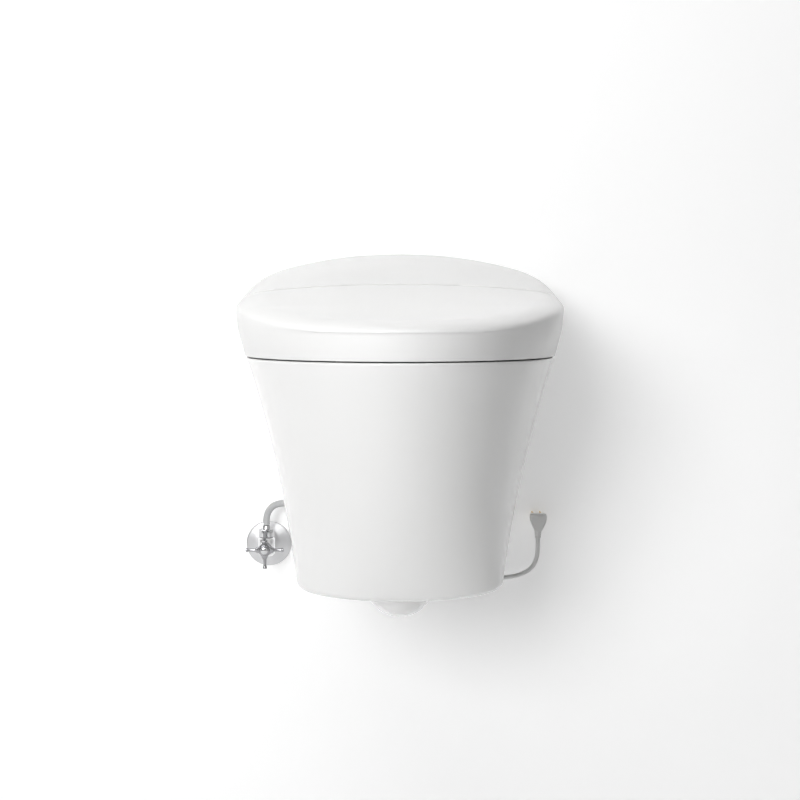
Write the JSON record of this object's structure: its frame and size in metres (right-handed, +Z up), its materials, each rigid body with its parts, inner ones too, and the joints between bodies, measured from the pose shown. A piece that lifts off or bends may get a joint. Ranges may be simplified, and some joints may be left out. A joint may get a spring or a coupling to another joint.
{
  "type": "wall-hung smart toilet",
  "caption": "Wall-hung toilet with a tapered skirted pan, hinged lid and heated seat, washing nozzle, warm-air dryer, stop valve, supply hose and power cord",
  "frame": {"origin": "on the wall plane, midway between the two fixing studs, on the back of the wall mat", "axes": "+Z up, +Y into the wall, -Y towards the front of the toilet, +X to the right as seen from the front"},
  "size_m": [0.4768, 0.6129, 0.5125],
  "materials": {
    "glaze": "glossy white glaze",
    "shell": "satin-gloss white",
    "seat_plastic": "satin-gloss white",
    "white_plastic": "matt white",
    "grey_plastic": "matt grey",
    "dark_plastic": "matt near-black",
    "foam": "soft closed-cell foam",
    "rubber": "matt black",
    "pale_rubber": "matt pale grey",
    "steel": "zinc-plated",
    "chrome": "polished chrome",
    "brass": "plain brass",
    "braid": "fine grey-white braid",
    "cord": "matt white",
    "board_green": "coated circuit board",
    "smoked": "smoked infrared window"
  },
  "bodies": {
    "frame": {"pan": "glaze", "wall_mat": "foam", "inlet_seal": "rubber", "outlet_seal": "rubber", "fixing_stud_left": "steel", "fixing_stud_right": "steel", "fixing_nut_left": "steel", "fixing_nut_right": "steel", "mounting_bracket": "steel", "base_chassis": "grey_plastic", "housing_cover": "shell", "hinge_barrel": "shell", "seat_drive_unit": "dark_plastic", "lid_drive_unit": "dark_plastic", "bay_fascia": "white_plastic", "nozzle_guide": "grey_plastic", "nozzle_motor": "dark_plastic", "dryer_fan_casing": "dark_plastic", "dryer_fan_motor": "steel", "dryer_duct": "grey_plastic", "water_heater": "dark_plastic", "wash_pump": "dark_plastic", "inlet_valve": "white_plastic", "inlet_connector": "brass", "deodoriser_cartridge": "white_plastic", "control_board": "board_green", "board_case": "dark_plastic", "cord_gland": "rubber", "sensor_window": "smoked", "valve_escutcheon": "chrome", "valve_body": "chrome", "hose_nut_lower": "chrome", "supply_hose": "braid", "power_cord": "cord", "power_cord_coil": "cord", "power_cord_tail": "cord", "cord_clip": "grey_plastic", "plug": "cord", "plug_pins": "brass"},
    "seat": {"seat_top": "seat_plastic", "seat_base": "white_plastic", "seat_drive_shaft": "steel", "seat_bumper_left": "pale_rubber", "seat_bumper_right": "pale_rubber"},
    "lid": {"lid_shell": "shell", "lid_hinge_arm_left": "grey_plastic", "lid_hinge_arm_right": "grey_plastic", "lid_drive_shaft": "steel", "lid_bumper_left": "pale_rubber", "lid_bumper_right": "pale_rubber"},
    "nozzle": {"nozzle_wand": "white_plastic", "nozzle_tip": "white_plastic"},
    "pinion": {"nozzle_pinion": "brass"},
    "impeller": {"dryer_impeller": "grey_plastic"},
    "flap": {"dryer_flap": "white_plastic"},
    "flush_key": {"flush_button": "white_plastic"},
    "power_key": {"power_button": "white_plastic"},
    "handle": {"valve_handle": "chrome", "handle_cap": "chrome"}
  },
  "joints": [
    {"name": "seat_hinge", "type": "hinge", "parent": "frame", "child": "seat", "pos_m": [0, -0.281, 0.139], "axis": [1, 0, 0], "range_deg": [-95, 0]},
    {"name": "lid_hinge", "type": "hinge", "parent": "seat", "child": "lid", "pos_m": [0, -0.281, 0.139], "axis": [-1, 0, 0], "range_deg": [0, 100]},
    {"name": "nozzle_slide", "type": "slide", "parent": "frame", "child": "nozzle", "axis": [0, -0.8192, -0.5736], "range_m": [0, 0.1]},
    {"name": "pinion_turn", "type": "hinge", "parent": "frame", "child": "pinion", "pos_m": [0, -0.20974, 0.12527], "axis": [-1, 0, 0], "range_deg": [0, 960]},
    {"name": "impeller_turn", "type": "hinge", "parent": "frame", "child": "impeller", "pos_m": [0.062, -0.12491, 0.14011], "axis": [1, 0, 0], "continuous": true},
    {"name": "flap_hinge", "type": "hinge", "parent": "frame", "child": "flap", "pos_m": [0.062, -0.25151, 0.08992], "axis": [-1, 0, 0], "range_deg": [0, 60]},
    {"name": "flush_press", "type": "slide", "parent": "frame", "child": "flush_key", "axis": [-1, 0, 0], "range_m": [0, 0.0012], "stiffness_N_per_m": 500, "springref_m": -0.0004},
    {"name": "power_press", "type": "slide", "parent": "frame", "child": "power_key", "axis": [-1, 0, 0], "range_m": [0, 0.0012], "stiffness_N_per_m": 500, "springref_m": -0.0004},
    {"name": "handle_turn", "type": "hinge", "parent": "frame", "child": "handle", "pos_m": [-0.2105, -0.0525, -0.2272], "axis": [0, -1, 0], "range_deg": [0, 720]}
  ],
  "couplings": [
    {"joint": "pinion_turn", "follows": "nozzle_slide", "rad_per_m": 166.67}
  ]
}
